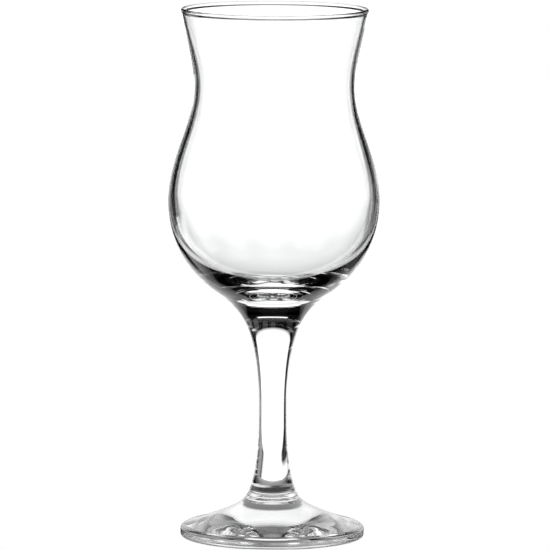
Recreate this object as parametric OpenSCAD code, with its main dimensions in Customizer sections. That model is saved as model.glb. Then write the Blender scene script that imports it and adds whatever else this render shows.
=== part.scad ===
// Poco grande glass: a blown tulip bowl, a drawn stem and a pressed foot, welded end to end.
// Every piece is turned about the upright axis. Heights stack up from the table, in millimetres.
// A lean is the tilt of the skin from upright, in degrees, positive where it opens out going up.

/* [Foot] */
// Outside diameter of the foot
foot_d = 71.2; // [60:0.2:84]
// Height of the foot from the table to its weld with the stem
foot_h = 17.5; // [15:0.5:24]
// Height of the foot's edge
foot_edge_h = 4.9; // [3.6:0.1:6]
// Radius of the rounding along the top of the edge
foot_top_round = 2.4; // [0.8:0.1:2.6]
// Radius of the rounding along the bottom of the edge
foot_low_round = 1.4; // [0.4:0.1:1.8]
// Lean of the top where it runs into the edge
foot_edge_lean = -77; // [-84:1:-68]
// Diameter of the knee, where the slope turns up into the boss
knee_d = 32.4; // [27:0.2:42]
// Height of the knee above the table
knee_h = 11.2; // [9:0.1:13]
// Lean of the skin at the knee
knee_lean = -66; // [-74:1:-58]
// Width of the flat ring that the glass stands on
ring_w = 3.6; // [1.5:0.1:6]
// Depth of the hollow under the foot, at its middle
hollow_h = 0.4; // [0.2:0.1:2]

/* [Stem] */
// Length of the stem from weld to weld
stem_l = 67.5; // [50:0.5:90]
// Diameter of the stem at its thinnest
stem_d = 10.7; // [8:0.1:14]
// Height of the thinnest place above the foot's weld
stem_thin_h = 31.8; // [20:0.2:40]
// How long the stem stays thin: 0.4 is a short neck, 1.2 is a long even one
stem_fullness = 0.55; // [0.4:0.05:1.2]
// Diameter of the weld between stem and foot
foot_weld_d = 18.4; // [15:0.2:24]
// Lean of the skin at the weld with the foot
foot_weld_lean = -23; // [-34:1:-12]
// Diameter of the weld between stem and bowl
bowl_weld_d = 23.3; // [17:0.2:30]
// Lean of the skin at the weld with the bowl
bowl_weld_lean = 31; // [18:1:42]

/* [Bowl] */
// Diameter at the steepest place of the bowl's underside
under_d = 43.4; // [35:0.2:54]
// Height of that place above the stem's weld
under_h = 10.2; // [7:0.1:14]
// Lean of the underside there
under_lean = 56; // [48:1:64]
// Diameter of the belly
belly_d = 82; // [70:0.2:96]
// Height of the belly above the stem's weld
belly_h = 45.6; // [38:0.2:56]
// How full the outside is above and below the belly: 0.9 is lean, 1.3 is boxy
belly_fullness = 1.15; // [0.9:0.05:1.3]
// Diameter of the waist
waist_d = 62.4; // [50:0.2:74]
// Height of the waist above the belly
waist_h = 44.2; // [34:0.2:56]
// Diameter of the mouth, over the bead
mouth_d = 72.7; // [64:0.1:84]
// Height of the mouth above the waist
mouth_h = 30.2; // [22:0.2:40]
// Lean of the wall below the bead
mouth_lean = 9; // [5:0.5:16]
// Height of the fire-polished lip, where the wall swells into the bead
lip_h = 2.2; // [1.6:0.1:4]
// How far the bead stands out from the wall below the lip
lip_out = 0.45; // [0.2:0.05:0.8]

/* [Glass thickness] */
// Thickness of the bead round the mouth
bead_d = 1.7; // [1.4:0.05:2.4]
// Wall just below the lip
lip_wall = 1.4; // [0.9:0.05:1.8]
// Wall at the waist
waist_wall = 1.8; // [1:0.1:3]
// Wall at the belly
belly_wall = 2.7; // [1.4:0.1:4]
// Glass between the stem's weld and the floor of the cup
floor_t = 11; // [9:0.5:18]
// How much higher the cup is widest inside than outside
cup_rise = 1.3; // [0:0.1:6]
// How full the cup's side is below its widest place: 1 is lean, 1.7 is boxy
side_fullness = 1.5; // [1:0.05:1.7]
// How full the cup's floor is: 0.6 is pointed, 1.3 is broad and flat
floor_fullness = 0.9; // [0.6:0.05:1.3]

/* [Smoothness] */
// Straight pieces in each curved stretch of an outline
steps = 14; // [8:2:20]
// Degrees turned by each straight piece of a rounding
round_step = 10; // [6:2:18]

/* [Hidden] */
$fn = 96;
glass = [0.86, 0.9, 0.9, 0.6];

// Heights of the welds and of the bowl's main stations above the table
foot_weld_z = foot_h;
bowl_weld_z = foot_weld_z + stem_l;
under_z = bowl_weld_z + under_h;
belly_z = bowl_weld_z + belly_h;
waist_z = belly_z + waist_h;
mouth_z = waist_z + mouth_h;
lip_z = mouth_z - lip_h;
floor_z = bowl_weld_z + floor_t;
cup_z = belly_z + cup_rise;

// Radii of the mouth
bead_r = bead_d / 2;
bead_mid = [mouth_d / 2 - bead_r, mouth_z - bead_r];
lip_r = mouth_d / 2 - lip_out;

// A step along the skin, going up at a lean
function along(lean) = [sin(lean), cos(lean)];

// A smooth stretch of skin from a to b that has the given lean at each end, without its first point.
// Each fullness says how far that end holds its lean.
function skin(a, lean_a, b, lean_b, full_a = 1, full_b = 1) =
    let (span = norm(b - a), from = full_a * span * along(lean_a), to = full_b * span * along(lean_b))
    [for (i = [1 : steps])
        let (t = i / steps, u = 1 - t)
        u * u * (1 + 2 * t) * a + t * u * u * from + t * t * (3 - 2 * t) * b - t * t * u * to];

// A rounding about a centre, from one bearing to another, both ends included
function rounding(centre, r, from, to) =
    let (n = max(2, ceil(abs(to - from) / round_step)))
    [for (i = [0 : n])
        let (at = from + (to - from) * i / n)
        centre + r * [cos(at), sin(at)]];

// A list without its first item
function rest(list) = [for (i = [1 : len(list) - 1]) list[i]];

module turned(outline) {
    color(glass) rotate_extrude() polygon(outline);
}

// The pressed disc: a hollow underside, a flat ring, a rounded edge, and a top that sweeps up to the weld
module foot() {
    low_mid = [foot_d / 2 - foot_low_round, foot_low_round];
    top_mid = [foot_d / 2 - foot_top_round, foot_edge_h - foot_top_round];
    top_round = rounding(top_mid, foot_top_round, 0, -foot_edge_lean);
    knee = [knee_d / 2, knee_h];
    weld = [foot_weld_d / 2, foot_weld_z];
    hollow_edge = [low_mid[0] - ring_w, 0];
    hollow_lean = 90 + atan(2 * hollow_h / hollow_edge[0]);
    turned(concat(
        [[0, hollow_h]],
        skin([0, hollow_h], 90, hollow_edge, hollow_lean),
        rounding(low_mid, foot_low_round, -90, 0),
        top_round,
        skin(top_round[len(top_round) - 1], foot_edge_lean, knee, knee_lean),
        skin(knee, knee_lean, weld, foot_weld_lean),
        [[0, foot_weld_z]]
    ));
}

// The solid drawn rod, thinnest below its middle and flared into both welds
module stem() {
    low = [foot_weld_d / 2, foot_weld_z];
    thin = [stem_d / 2, foot_weld_z + stem_thin_h];
    high = [bowl_weld_d / 2, bowl_weld_z];
    turned(concat(
        [[0, foot_weld_z], low],
        skin(low, foot_weld_lean, thin, 0, 1, stem_fullness),
        skin(thin, 0, high, bowl_weld_lean, stem_fullness, 1),
        [[0, bowl_weld_z]]
    ));
}

// The blown cup: the outside from the weld up to the bead, then the inside down to the floor
module bowl() {
    weld = [bowl_weld_d / 2, bowl_weld_z];
    under = [under_d / 2, under_z];
    belly = [belly_d / 2, belly_z];
    waist = [waist_d / 2, waist_z];
    lip = [lip_r, lip_z];
    bead_out = bead_mid + [bead_r, 0];
    bead_in = bead_mid - [bead_r, 0];
    lip_in = lip - [lip_wall, 0];
    waist_in = waist - [waist_wall, 0];
    cup = [belly_d / 2 - belly_wall, cup_z];
    turned(concat(
        [[0, bowl_weld_z], weld],
        skin(weld, bowl_weld_lean, under, under_lean),
        skin(under, under_lean, belly, 0, 1, belly_fullness),
        skin(belly, 0, waist, 0, belly_fullness, 1),
        skin(waist, 0, lip, mouth_lean),
        skin(lip, mouth_lean, bead_out, 0),
        rest(rounding(bead_mid, bead_r, 0, 180)),
        skin(bead_in, 180, lip_in, 180 + mouth_lean),
        skin(lip_in, 180 + mouth_lean, waist_in, 180),
        skin(waist_in, 180, cup, 180),
        skin(cup, 180, [0, floor_z], 270, side_fullness, floor_fullness)
    ));
}

foot();
stem();
bowl();
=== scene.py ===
import math
import bpy
import numpy as np
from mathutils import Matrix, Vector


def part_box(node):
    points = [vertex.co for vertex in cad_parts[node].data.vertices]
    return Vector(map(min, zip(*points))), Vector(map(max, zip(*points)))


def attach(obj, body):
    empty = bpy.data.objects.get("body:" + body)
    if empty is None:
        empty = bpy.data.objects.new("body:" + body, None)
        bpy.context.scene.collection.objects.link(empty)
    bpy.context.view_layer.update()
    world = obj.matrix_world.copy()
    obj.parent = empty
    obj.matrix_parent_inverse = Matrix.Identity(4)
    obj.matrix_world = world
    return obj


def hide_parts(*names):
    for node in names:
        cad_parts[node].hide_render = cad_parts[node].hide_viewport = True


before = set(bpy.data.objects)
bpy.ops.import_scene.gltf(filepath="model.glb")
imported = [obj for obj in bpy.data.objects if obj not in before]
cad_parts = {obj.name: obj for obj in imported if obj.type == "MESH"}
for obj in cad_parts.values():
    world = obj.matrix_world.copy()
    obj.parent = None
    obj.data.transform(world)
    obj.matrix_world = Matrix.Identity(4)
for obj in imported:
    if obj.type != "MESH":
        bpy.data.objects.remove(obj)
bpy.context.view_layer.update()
print("frame: nodes", sorted(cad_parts))

mm = 0.001
fine = 0.15  # spacing of the points where the skin bends sharply or is ringed, in mm


def along(lean):
    return np.array([math.sin(math.radians(lean)), math.cos(math.radians(lean))])


# A smooth stretch of skin between two places, with the lean it has at each of them
def skin(a, leanA, b, leanB, holdA=1.0, holdB=1.0, step=0.8, fewest=8):
    a, b = np.array(a, float), np.array(b, float)
    span = np.hypot(*(b - a))
    start, end = holdA * span * along(leanA), holdB * span * along(leanB)
    t = np.linspace(0, 1, max(fewest, int(span / step)) + 1)[1:, None]
    u = 1 - t
    return list(u * u * (1 + 2 * t) * a + t * u * u * start + t * t * (3 - 2 * t) * b - t * t * u * end)


def rounding(centre, r, start, end, count=18):
    turn = np.radians(np.linspace(start, end, count + 1))
    return [np.array([centre[0] + r * math.cos(t), centre[1] + r * math.sin(t)]) for t in turn]


# Diameter, bottom and top of a CAD node in mm
def sizeOf(node):
    low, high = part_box(node)
    return (high.x - low.x) / mm, low.z / mm, high.z / mm


# Lengths in mm, leans in degrees from upright
footLook = dict(edgeHeight=4.9, topRound=2.4, lowRound=1.4, edgeLean=-77,
                kneeDiameter=32.4, kneeHeight=11.2, kneeLean=-66,
                ringWidth=3.6, hollowHeight=0.4, weldDiameter=18.4, weldLean=-23)


def footOutline(look):
    diameter, _, weldZ = sizeOf("foot")
    r = diameter / 2
    lowMid = (r - look["lowRound"], look["lowRound"])
    topMid = (r - look["topRound"], look["edgeHeight"] - look["topRound"])
    ringR = lowMid[0] - look["ringWidth"]
    hollow = look["hollowHeight"]
    knee = (look["kneeDiameter"] / 2, look["kneeHeight"])
    pts = [np.array([0.0, hollow])]
    pts += skin((0, hollow), 90, (ringR, 0), 90 + math.degrees(math.atan(2 * hollow / ringR)))
    pts += rounding(lowMid, look["lowRound"], -90, 0)
    pts += rounding(topMid, look["topRound"], 0, -look["edgeLean"])
    pts += skin(pts[-1], look["edgeLean"], knee, look["kneeLean"])
    weld = (look["weldDiameter"] / 2, weldZ)
    pts += skin(knee, look["kneeLean"], weld, look["weldLean"], step=fine)
    return pts


stemLook = dict(thinDiameter=10.7, thinHeight=31.8, thinHold=0.55, topDiameter=23.3, topLean=31)


def stemOutline(look, foot):
    low, high = sizeOf("stem")[1:]
    thin = (look["thinDiameter"] / 2, low + look["thinHeight"])
    pts = skin((foot["weldDiameter"] / 2, low), foot["weldLean"], thin, 0, 1, look["thinHold"])
    pts += skin(thin, 0, (look["topDiameter"] / 2, high), look["topLean"], look["thinHold"])
    return pts


bowlLook = dict(underDiameter=43.4, underHeight=10.2, underLean=56, bellyHeight=45.6, bellyHold=1.15,
                waistDiameter=62.4, waistHeight=89.8, mouthDiameter=72.7, mouthLean=9,
                lipHeight=2.2, lipOut=0.45, beadThickness=1.7, beadSteps=24,
                lipWall=1.4, waistWall=1.8, bellyWall=2.7, floorThickness=11.0,
                cupRise=1.3, cupHold=1.5, floorHold=0.9)


def bowlOutline(look, stem):
    belly, low, high = sizeOf("bowl")
    beadR = look["beadThickness"] / 2
    mouthR = look["mouthDiameter"] / 2
    weld = (stem["topDiameter"] / 2, low)
    under = (look["underDiameter"] / 2, low + look["underHeight"])
    widest = (belly / 2, low + look["bellyHeight"])
    waist = (look["waistDiameter"] / 2, low + look["waistHeight"])
    lip = (mouthR - look["lipOut"], high - look["lipHeight"])
    bead = (mouthR - beadR, high - beadR)
    lipIn = (lip[0] - look["lipWall"], lip[1])
    waistIn = (waist[0] - look["waistWall"], waist[1])
    cup = (widest[0] - look["bellyWall"], widest[1] + look["cupRise"])
    floorZ = low + look["floorThickness"]
    pts = skin(weld, stem["topLean"], under, look["underLean"])
    pts += skin(under, look["underLean"], widest, 0, 1, look["bellyHold"])
    pts += skin(widest, 0, waist, 0, look["bellyHold"])
    pts += skin(waist, 0, lip, look["mouthLean"])
    pts += skin(lip, look["mouthLean"], (mouthR, bead[1]), 0, step=fine)
    pts += rounding(bead, beadR, 0, 180, look["beadSteps"])[1:]
    pts += skin((mouthR - 2 * beadR, bead[1]), 180, lipIn, 180 + look["mouthLean"], step=fine)
    pts += skin(lipIn, 180 + look["mouthLean"], waistIn, 180)
    pts += skin(waistIn, 180, cup, 180)
    pts += skin(cup, 180, (0, floorZ), 270, look["cupHold"], look["floorHold"])
    return pts


# The whole skin is worked out as one run, so the glass flows on over the welds
footSkin = footOutline(footLook)
stemSkin = stemOutline(stemLook, footLook)
bowlSkin = bowlOutline(bowlLook, stemLook)
outline = np.array(footSkin + stemSkin + bowlSkin)
footEnd = len(footSkin) - 1
stemEnd = footEnd + len(stemSkin)
print("outline:", len(outline), "points, welds at", footEnd, stemEnd)

turned = dict(segments=256, onAxis=1e-6)
ringLook = dict(low=13.0, high=19.0, soft=1.0, pitch=1.2, depth=0.03)
edgeLook = dict(inside=33.0, low=0.0, high=3.4, soft=1.2, depth=0.2,
                lobes=((9, 1.0), (14, 2.2), (23, 0.4)))  # lobes all round and where they start
waveLook = dict(soft=12.0, depth=0.04,
                lobes=((3, 0.2, 0.11), (5, 1.1, -0.08)))  # and how they turn along the skin


# 1 between low and high, and 0 outside, with soft ends
def window(v, low, high, soft):
    rise, fall = np.clip((v - low) / soft, 0, 1), np.clip((high - v) / soft, 0, 1)
    return rise * rise * (3 - 2 * rise) * fall * fall * (3 - 2 * fall)


# How deep the glass dips below its even outline: fine rings round the foot's weld, a foot edge
# that isn't quite true, and the faint waves of blown glass in the bowl
def dips(pts, run, phi, rings, edge, waves):
    r, z, run = pts[:, :1], pts[:, 1:], run[:, None]
    ringed = (rings["depth"] * window(z, rings["low"], rings["high"], rings["soft"])
              * (0.5 - 0.5 * np.cos(2 * math.pi * z / rings["pitch"])))
    uneven = sum(np.sin(lobes * phi + at) for lobes, at in edge["lobes"]) / len(edge["lobes"])
    edged = (edge["depth"] * window(z, edge["low"], edge["high"], edge["soft"])
             * (r > edge["inside"]) * (0.5 + 0.5 * uneven))
    wavy = sum(np.sin(lobes * phi + at + climb * run)
               for lobes, at, climb in waves["lobes"]) / len(waves["lobes"])
    waved = waves["depth"] * window(run, run[stemEnd], run[-1], waves["soft"]) * (0.5 + 0.5 * wavy)
    return ringed + edged + waved


# The skin all round, with its outward normals
def wholeSkin(pts):
    phi = np.arange(turned["segments"]) * 2 * math.pi / turned["segments"]
    run = np.concatenate([[0], np.cumsum(np.hypot(*np.diff(pts, axis=0).T))])
    d = np.gradient(pts, run, axis=0)
    out = np.stack([d[:, 1], -d[:, 0]], 1)
    out[0], out[-1] = (0, -1), (0, 1)
    out /= np.linalg.norm(out, axis=1)[:, None]
    dip = dips(pts, run, phi, ringLook, edgeLook, waveLook)
    r, z = pts[:, :1] - dip * out[:, :1], pts[:, 1:] - dip * out[:, 1:]
    places = np.stack([r * np.cos(phi), r * np.sin(phi), z], 2) * mm
    across = np.roll(places, -1, 1) - np.roll(places, 1, 1)
    facing = np.cross(across, np.gradient(places, run, axis=0))
    facing[0], facing[-1] = (0, 0, -1), (0, 0, 1)
    return places, facing / np.linalg.norm(facing, axis=2)[..., None]


places, facing = wholeSkin(outline)


# One closed piece of glass from a stretch of the skin, with a flat weld face at each open end
def turnedPiece(name, first, last, skinLook, weldLook):
    count = turned["segments"]
    verts, vertNormals, rows = [], [], []
    for i in range(first, last + 1):
        around = 1 if outline[i][0] < turned["onAxis"] else count
        rows.append(list(range(len(verts), len(verts) + around)))
        verts += places[i, :around].tolist()
        vertNormals += facing[i, :around].tolist()
    faces, faceNormals, looks = [], [], []

    def addFace(corners, flat=None):
        faces.append(corners)
        faceNormals.extend([flat] * len(corners) if flat else [vertNormals[c] for c in corners])
        looks.append(1 if flat else 0)  # weld or skin

    for a, b in zip(rows, rows[1:]):
        for k in range(count):
            m = (k + 1) % count
            if len(a) == 1:
                addFace((a[0], b[m], b[k]))
            elif len(b) == 1:
                addFace((a[k], a[m], b[0]))
            else:
                addFace((a[k], a[m], b[m], b[k]))
    for row, flat in ((rows[0], (0, 0, -1)), (rows[-1], (0, 0, 1))):
        if len(row) > 1:
            middle = len(verts)
            verts.append((0, 0, verts[row[0]][2]))
            vertNormals.append(flat)
            for k in range(count):
                m = (k + 1) % count
                pair = (row[m], row[k]) if flat[2] < 0 else (row[k], row[m])
                addFace((middle,) + pair, flat)
    mesh = bpy.data.meshes.new(name)
    mesh.from_pydata(verts, [], faces)
    mesh.materials.append(skinLook)
    mesh.materials.append(weldLook)
    mesh.polygons.foreach_set("material_index", looks)
    mesh.polygons.foreach_set("use_smooth", [True] * len(faces))
    mesh.normals_split_custom_set(faceNormals)
    mesh.update()
    piece = bpy.data.objects.new(name, mesh)
    bpy.context.collection.objects.link(piece)
    return piece


glassLook = dict(colour=(0.985, 0.99, 0.99, 1), ior=1.52, roughness=0.0)


def makeGlass(look):
    mat = bpy.data.materials.new("clearGlass")
    mat.use_nodes = True
    shader = mat.node_tree.nodes["Principled BSDF"]
    shader.inputs["Base Color"].default_value = look["colour"]
    shader.inputs["Roughness"].default_value = look["roughness"]
    shader.inputs["IOR"].default_value = look["ior"]
    shader.inputs["Transmission Weight"].default_value = 1.0
    return mat


# The weld faces lie inside solid glass, where nothing shows
def makeWeld(look):
    mat = bpy.data.materials.new("meltedWeld")
    mat.use_nodes = True
    shader = mat.node_tree.nodes["Principled BSDF"]
    shader.inputs["Base Color"].default_value = look["colour"]
    shader.inputs["Alpha"].default_value = 0.0
    return mat


glass = makeGlass(glassLook)
weldFace = makeWeld(glassLook)
stretches = dict(foot=(0, footEnd), stem=(footEnd, stemEnd), bowl=(stemEnd, len(outline) - 1))
for node, (first, last) in stretches.items():
    piece = turnedPiece(node + "Glass", first, last, glass, weldFace)
    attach(piece, "root")
    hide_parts(node)
    print("piece:", piece.name, len(piece.data.polygons), "faces")

# The glass is lit by white cards that only the glass sees, each piece by its own. The bowl gets
# narrow ones, so that its thin walls stay dark, and the solid stem and foot get wide ones.
# Each row of a card: how far off, height, half its width, its soft edge, all in metres, and how
# bright it is there. A bearing is in degrees, from straight behind the glass towards the right.
stageLook = dict(drop=0.0002, apart=0.001, dark=0.004, floorReach=12.0, floorLight=1.0)
cardLook = dict(
    bowlBackdrop=dict(sees="bowl", bearing=0, light=1.6, rows=(
        (0.05, 0, 0.045, 0.03, 0.4), (0.12, 0, 0.090, 0.03, 0.6), (0.30, 0, 0.140, 0.04, 0.7),
        (0.42, 0, 0.140, 0.04, 0.7), (0.60, 0, 0.170, 0.04, 0.8), (0.90, 0, 0.260, 0.05, 1.0),
        (0.90, 0.20, 0.260, 0.05, 1.0), (0.90, 0.32, 0.260, 0.05, 0.0))),
    bowlLeft=dict(sees="bowl", bearing=-90, light=1.2, rows=(
        (0.12, 0, 0.015, 0.02, 0.8), (0.90, 0, 0.10, 0.12, 1.0), (3.0, 0, 0.32, 0.40, 1.0),
        (3.0, 0.14, 0.32, 0.40, 1.0), (3.0, 0.20, 0.32, 0.40, 0.0))),
    bowlTableLeft=dict(sees="bowl", bearing=-49, light=1.15, rows=(
        (0.22, -0.1, 0.035, 0.016, 0.2), (0.30, -0.1, 0.048, 0.022, 0.8),
        (0.38, -0.1, 0.060, 0.027, 1.0), (0.92, -0.1, 0.146, 0.065, 1.0))),
    bowlTableFront=dict(sees="bowl", bearing=135, light=1.2, rows=(
        (0.25, -0.1, 0.07, 0.03, 1.0), (1.5, -0.1, 0.42, 0.11, 1.0))),
    stemBackdrop=dict(sees="stem", bearing=0, light=1.15, rows=(
        (0.03, 0, 0.010, 0.004, 1.0), (0.12, 0, 0.050, 0.015, 1.0), (0.20, 0, 0.170, 0.03, 1.0),
        (0.92, 0, 0.82, 0.09, 1.0), (0.92, 0.46, 0.82, 0.09, 1.0), (0.92, 0.60, 0.60, 0.20, 0.0))),
    stemLeft=dict(sees="stem", bearing=-90, light=1.15, rows=(
        (0.03, 0, 0.006, 0.004, 1.0), (0.10, 0, 0.020, 0.008, 1.0), (0.40, 0, 0.08, 0.03, 1.0),
        (0.60, 0, 0.23, 0.06, 1.0), (3.1, 0, 1.20, 0.3, 1.0), (3.1, 0.50, 1.20, 0.3, 1.0),
        (3.1, 0.90, 1.20, 0.3, 0.0))),
    stemTableLeft=dict(sees="stem", bearing=-42, light=1.15, rows=(
        (0.10, -0.1, 0.034, 0.02, 0.0), (0.16, -0.1, 0.055, 0.02, 1.0),
        (0.32, -0.1, 0.110, 0.035, 1.0), (0.40, -0.1, 0.13, 0.04, 0.0))),
    stemTableFront=dict(sees="stem", bearing=135, light=1.15, rows=(
        (0.20, -0.1, 0.12, 0.05, 1.0), (1.2, -0.1, 0.68, 0.12, 1.0), (2.2, -0.1, 1.2, 0.2, 0.0))),
    stemCeiling=dict(sees="stem", bearing=0, light=0.2, rows=(
        (1.30, 1.2, 1.4, 0.6, 1.0), (0.05, 1.2, 0.3, 0.2, 1.0))),
    footBackdrop=dict(sees="foot", bearing=0, light=1.1, rows=(
        (0.020, 0.0085, 0.012, 0.012, 0.10), (0.0365, 0.0085, 0.020, 0.020, 0.20),
        (0.039, 0.0085, 0.021, 0.021, 0.9), (0.043, 0.0085, 0.023, 0.023, 0.9),
        (0.047, 0.0085, 0.025, 0.025, 0.6), (0.060, 0.0085, 0.030, 0.030, 0.35),
        (0.20, 0.0085, 0.08, 0.12, 0.9), (0.94, 0, 0.42, 0.40, 1.0), (0.94, 0.40, 0.42, 0.40, 1.0),
        (0.94, 0.60, 0.36, 0.40, 0.8), (0.94, 0.98, 0.36, 0.40, 0.1))),
    footLeft=dict(sees="foot", bearing=-90, light=0.42, rows=(
        (0.10, -0.1, 0.03, 0.04, 0.3), (0.94, -0.1, 0.30, 0.40, 1.0),
        (0.94, 0.20, 0.30, 0.40, 1.0), (0.94, 0.50, 0.30, 0.40, 0.1))),
    footTableLeft=dict(sees="foot", bearing=-45, light=0.6, rows=(
        (0.10, -0.1, 0.03, 0.04, 0.2), (0.60, -0.1, 0.20, 0.20, 1.0))),
    footTableFront=dict(sees="foot", bearing=135, light=1.2, rows=(
        (0.05, -0.1, 0.03, 0.04, 0.6), (0.85, -0.1, 0.40, 0.40, 1.0))),
    footUnder=dict(sees="foot", bearing=0, light=0.06, rows=(
        (-0.05, 0, 0.05, 0.01, 1.0), (0.05, 0, 0.05, 0.01, 1.0))),
)

# More cards on the sides that these leave dark, so that the glass is clear all the way round.
# Each bearing has its share of the light.
sideLook = dict(
    bearings={45: 0.3, 90: 0.45, 180: 1.0, -135: 1.0},
    bowl=dict(light=0.9, rows=(
        (0.12, 0, 0.015, 0.02, 0.8), (0.90, 0, 0.10, 0.12, 1.0), (3.3, 0, 0.36, 0.44, 1.0),
        (3.3, 0.14, 0.36, 0.44, 1.0), (3.3, 0.20, 0.36, 0.44, 0.0))),
    stem=dict(light=0.9, rows=(
        (0.03, 0, 0.006, 0.004, 1.0), (0.10, 0, 0.020, 0.008, 1.0), (0.40, 0, 0.08, 0.03, 1.0),
        (0.60, 0, 0.18, 0.06, 1.0), (3.4, 0, 1.0, 0.3, 1.0), (3.4, 0.50, 1.0, 0.3, 1.0),
        (3.4, 0.90, 1.0, 0.3, 0.0))),
    foot=dict(light=0.6, rows=(
        (0.10, -0.1, 0.03, 0.04, 0.3), (0.95, -0.1, 0.30, 0.40, 1.0),
        (0.95, 0.20, 0.30, 0.40, 1.0), (0.95, 0.50, 0.30, 0.40, 0.1))),
)
for bearing, share in sideLook["bearings"].items():
    for node in ("bowl", "stem", "foot"):
        own = sideLook[node]
        cardLook[f"{node}Side{bearing % 360}"] = dict(
            sees=node, bearing=bearing, light=share * own["light"], rows=own["rows"])


def stageMesh(name, verts, faces, mat):
    mesh = bpy.data.meshes.new(name)
    mesh.from_pydata(verts, [], faces)
    mesh.materials.append(mat)
    obj = bpy.data.objects.new(name, mesh)
    bpy.context.collection.objects.link(obj)
    return obj


# A card adds its glow to what is seen through it, so no card hides another
def cardMaterial(name, strength):
    mat = bpy.data.materials.new(name)
    mat.use_nodes = True
    nodes, links = mat.node_tree.nodes, mat.node_tree.links
    nodes.remove(nodes["Principled BSDF"])
    glow, scaled = nodes.new("ShaderNodeAttribute"), nodes.new("ShaderNodeMath")
    light, clear = nodes.new("ShaderNodeEmission"), nodes.new("ShaderNodeBsdfTransparent")
    both = nodes.new("ShaderNodeAddShader")
    glow.attribute_name = "glow"
    scaled.operation = "MULTIPLY"
    scaled.inputs[1].default_value = strength
    links.new(glow.outputs["Fac"], scaled.inputs[0])
    links.new(scaled.outputs[0], light.inputs["Strength"])
    links.new(light.outputs[0], both.inputs[0])
    links.new(clear.outputs[0], both.inputs[1])
    links.new(both.outputs[0], nodes["Material Output"].inputs["Surface"])
    mat.cycles.emission_sampling = "NONE"
    return mat


def makeCard(name, look, lower, lit, count=16):
    verts, glow = [], []
    for away, height, half, soft, bright in look["rows"]:
        across = [-half - soft] + list(np.linspace(-half, half, count + 1)) + [half + soft]
        verts += [(x, away, height - lower) for x in across]
        glow += [0.0] + [bright] * (count + 1) + [0.0]
    wide = count + 3  # the points of a row, with a soft edge at each end
    faces = [(i * wide + k, i * wide + k + 1, (i + 1) * wide + k + 1, (i + 1) * wide + k)
             for i in range(len(look["rows"]) - 1) for k in range(wide - 1)]
    card = stageMesh(name, verts, faces, cardMaterial(name, look["light"]))
    card.data.attributes.new("glow", "FLOAT", "POINT").data.foreach_set("value", glow)
    card.rotation_euler[2] = -math.radians(look["bearing"])
    card.visible_camera = False
    card.light_linking.receiver_collection = lit


def glowing(name, strength):
    mat = bpy.data.materials.new(name)
    mat.use_nodes = True
    shader = mat.node_tree.nodes["Principled BSDF"]
    shader.inputs["Base Color"].default_value = (0, 0, 0, 1)
    shader.inputs["Specular IOR Level"].default_value = 0.0
    shader.inputs["Emission Color"].default_value = (1, 1, 1, 1)
    shader.inputs["Emission Strength"].default_value = strength
    mat.cycles.emission_sampling = "NONE"
    return mat


def makeStage(look, cards):
    litBy = {}
    for node in stretches:
        litBy[node] = bpy.data.collections.new(node + "Lit")
        litBy[node].objects.link(bpy.data.objects[node + "Glass"])
    for number, (name, own) in enumerate(cards.items()):
        makeCard(name + "Card", own, look["drop"] + look["apart"] * number, litBy[own["sees"]])
    far, low = look["floorReach"], -look["drop"]
    corners = [(-far, -far, low), (far, -far, low), (far, far, low), (-far, far, low)]
    pale = stageMesh("floor", corners, [(0, 1, 2, 3)], glowing("paleFloor", look["floorLight"]))
    for rays in ("diffuse", "glossy", "transmission", "shadow", "volume_scatter"):
        setattr(pale, "visible_" + rays, False)


def makeWorld(look):
    world = bpy.data.worlds.new("studio")
    bpy.context.scene.world = world
    world.use_nodes = True
    nodes, links = world.node_tree.nodes, world.node_tree.links
    path = nodes.new("ShaderNodeLightPath")
    light = nodes.new("ShaderNodeMapRange")
    links.new(path.outputs["Is Camera Ray"], light.inputs["Value"])
    light.inputs["To Min"].default_value = look["dark"]
    light.inputs["To Max"].default_value = look["floorLight"]
    back = nodes["Background"]
    back.inputs["Color"].default_value = (1, 1, 1, 1)
    links.new(light.outputs[0], back.inputs["Strength"])


makeStage(stageLook, cardLook)
makeWorld(stageLook)
print("stage: floor and", len(cardLook), "cards")

# Metres and degrees, and the sensor in mm
cameraLook = dict(side=0.00058, back=2.5151, height=0.4074, pitch=6.928, roll=0.3, view=4.798,
                  sensor=36, reach=50)
bounceLook = dict(through=32, mirrored=16)


def makeCamera(look):
    data = bpy.data.cameras.new("camera")
    data.sensor_width = look["sensor"]
    data.angle = math.radians(look["view"])
    data.clip_end = look["reach"]
    camera = bpy.data.objects.new("camera", data)
    camera.location = (look["side"], -look["back"], look["height"])
    camera.rotation_mode = "ZYX"  # roll first, about the lens, then pitch
    camera.rotation_euler = (math.radians(90 - look["pitch"]), 0, math.radians(look["roll"]))
    bpy.context.collection.objects.link(camera)
    bpy.context.scene.camera = camera


makeCamera(cameraLook)
scene = bpy.context.scene
scene.view_settings.view_transform = "Standard"
scene.cycles.max_bounces = bounceLook["through"]
scene.cycles.transmission_bounces = bounceLook["through"]
scene.cycles.glossy_bounces = bounceLook["mirrored"]
scene.cycles.transparent_max_bounces = bounceLook["through"]
scene.cycles.use_denoising = True

print("camera: view", cameraLook["view"], "degrees")
